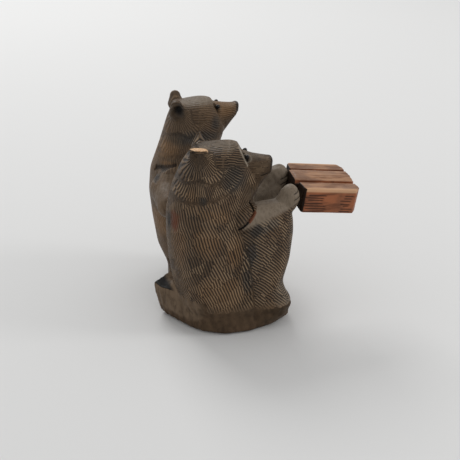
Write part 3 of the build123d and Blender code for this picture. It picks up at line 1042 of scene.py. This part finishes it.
def stained_wood():
    material, tree, shader = new_material("stained_wood")
    ragged = noise(tree, 160.0, 3.0, 0.6)
    broad = noise(tree, 60.0, 3.0)
    grain = noise(tree, 500.0, 5.0, 0.6, (1.0, 1.0, 0.5))
    colour = mix_colour(tree, remap(tree, broad, 0.4, 0.65), linear(88, 71, 55), linear(70, 57, 44))
    colour = mix_colour(tree, patch(tree, "pale", ragged), colour, linear(108, 91, 74))
    colour = mix_colour(tree, remap(tree, grain, 0.42, 0.7, 0.0, 0.4), colour, linear(40, 31, 24))
    colour = mix_colour(tree, attribute(tree, "groove"), colour, linear(34, 27, 21))
    colour = mix_colour(tree, attribute(tree, "black"), colour, linear(14, 11, 9))
    shader.inputs["Specular IOR Level"].default_value = 0.06
    tree.links.new(colour, shader.inputs["Base Color"])
    tree.links.new(remap(tree, grain, 0.3, 0.8, 0.45, 0.7), shader.inputs["Roughness"])
    tree.links.new(bump(tree, grain, 0.3, 0.0002), shader.inputs["Normal"])
    return material


def red_wood():
    material, tree, shader = new_material("red_wood")
    ragged = noise(tree, 200.0, 3.0, 0.6)
    broad = noise(tree, 110.0, 3.0)
    grain = noise(tree, 500.0, 5.0, 0.62, (0.12, 1.0, 1.0))
    # The side and top colours are shaded and lit copies of one wood: the top's paler colour is painted sheen
    # from above.
    side = mix_colour(tree, remap(tree, broad, 0.38, 0.66), linear(152, 92, 60), linear(122, 76, 52))
    top = mix_colour(tree, remap(tree, broad, 0.38, 0.66), linear(156, 117, 88), linear(124, 93, 72))
    colour = mix_colour(tree, attribute(tree, "painted_top_sheen"), side, top)
    colour = mix_colour(tree, remap(tree, grain, 0.42, 0.66, 0.0, 0.75), colour, linear(92, 56, 38))
    # Pale long top edges: wear and a painted highlight.
    colour = mix_colour(tree, attribute(tree, "edge_wear_and_painted_highlight"), colour, linear(206, 164, 128))
    colour = mix_colour(tree, attribute(tree, "groove"), colour, linear(50, 29, 19))
    # Painted shade on the face turned to the bear and in the top grooves.
    colour = mix_colour(tree, patch(tree, "stain_and_painted_shade", ragged), colour, linear(34, 22, 14))
    tree.links.new(colour, shader.inputs["Base Color"])
    tree.links.new(remap(tree, grain, 0.3, 0.8, 0.42, 0.66), shader.inputs["Roughness"])
    tree.links.new(bump(tree, grain, 0.35, 0.0002), shader.inputs["Normal"])
    return material


def raw_wood():
    material, tree, shader = new_material("raw_wood")
    grain = noise(tree, 700.0, 4.0, 0.6, (1.0, 1.0, 0.1))
    colour = mix_colour(tree, remap(tree, grain, 0.35, 0.7), linear(214, 176, 130), linear(176, 134, 88))
    tree.links.new(colour, shader.inputs["Base Color"])
    tree.links.new(remap(tree, grain, 0.3, 0.8, 0.5, 0.75), shader.inputs["Roughness"])
    return material


def bead_glass():
    material, tree, shader = new_material("eye_bead")
    shader.inputs["Base Color"].default_value = (0.006, 0.005, 0.005, 1)
    tree.links.new(remap(tree, noise(tree, 1500.0), 0.3, 0.8, 0.05, 0.14), shader.inputs["Roughness"])
    return material


def dress_node(name, material):
    """Give a CAD node that stays in view its material."""
    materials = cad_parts[name].data.materials
    materials.clear()
    materials.append(material)


# ---------------------------------------------------------------- stage

CAMERA_AZIMUTH = -15.0
CAMERA_ELEVATION = 23.0
CAMERA_PLACE = (-114.2, -436.0, 238.8)
LENS = 78.26


def make_camera():
    azimuth = math.radians(CAMERA_AZIMUTH)
    elevation = math.radians(CAMERA_ELEVATION)
    back = Vector((math.sin(azimuth) * math.cos(elevation), -math.cos(azimuth) * math.cos(elevation),
                   math.sin(elevation)))
    right = Vector((math.cos(azimuth), math.sin(azimuth), 0.0))
    up = back.cross(right)
    camera = bpy.data.objects.new("camera", bpy.data.cameras.new("camera"))
    place = Vector(np.array(CAMERA_PLACE) * MM + ORIGIN)
    turn = Matrix((right, up, back)).transposed().to_4x4()
    camera.matrix_world = Matrix.Translation(place) @ turn
    camera.data.lens = LENS
    camera.data.sensor_width = 36.0
    camera.data.clip_start = 0.01
    bpy.context.scene.collection.objects.link(camera)
    bpy.context.scene.camera = camera


def make_floor():
    mesh = bpy.data.meshes.new("floor")
    reach = 4.0
    mesh.from_pydata([(-reach, -reach, 0), (reach, -reach, 0), (reach, reach, 0), (-reach, reach, 0)], [],
                     [(0, 1, 2, 3)])
    floor = bpy.data.objects.new("floor", mesh)
    bpy.context.scene.collection.objects.link(floor)
    material, _, shader = new_material("floor")
    shader.inputs["Base Color"].default_value = (0.66, 0.66, 0.655, 1)
    shader.inputs["Roughness"].default_value = 0.8
    mesh.materials.append(material)


def area_light(name, place, target, size, power):
    light = bpy.data.lights.new(name, "AREA")
    light.size = size
    light.energy = power
    lamp = bpy.data.objects.new(name, light)
    lamp.location = place
    lamp.rotation_euler = (Vector(target) - Vector(place)).to_track_quat("-Z", "Y").to_euler()
    bpy.context.scene.collection.objects.link(lamp)


def make_light():
    world = bpy.data.worlds.new("studio")
    world.use_nodes = True
    background = world.node_tree.nodes["Background"]
    background.inputs["Color"].default_value = (1.0, 1.0, 1.0, 1)
    background.inputs["Strength"].default_value = 0.68
    bpy.context.scene.world = world
    area_light("window", (-0.2, 1.2, 1.2), (0, 0, 0.03), 0.8, 12.5)
    area_light("side_window", (1.0, -0.4, 0.5), (0, 0, 0.05), 0.3, 3.0)


def main():
    make_camera()
    fur = fur_wood()
    make_near_bear(fur)
    make_far_bear(fur)
    make_plinth(stained_wood())
    make_book(red_wood())
    bead = bead_glass()
    raw = raw_wood()
    for bear in ("near_bear", "far_bear"):
        dress_node(bear + "_right_eye", bead)
        dress_node(bear + "_left_eye", bead)
        dress_node(bear + "_dowels", raw)
    dress_node("book_pins", raw)
    make_floor()
    make_light()
    bpy.context.scene.view_settings.view_transform = "Standard"


main()
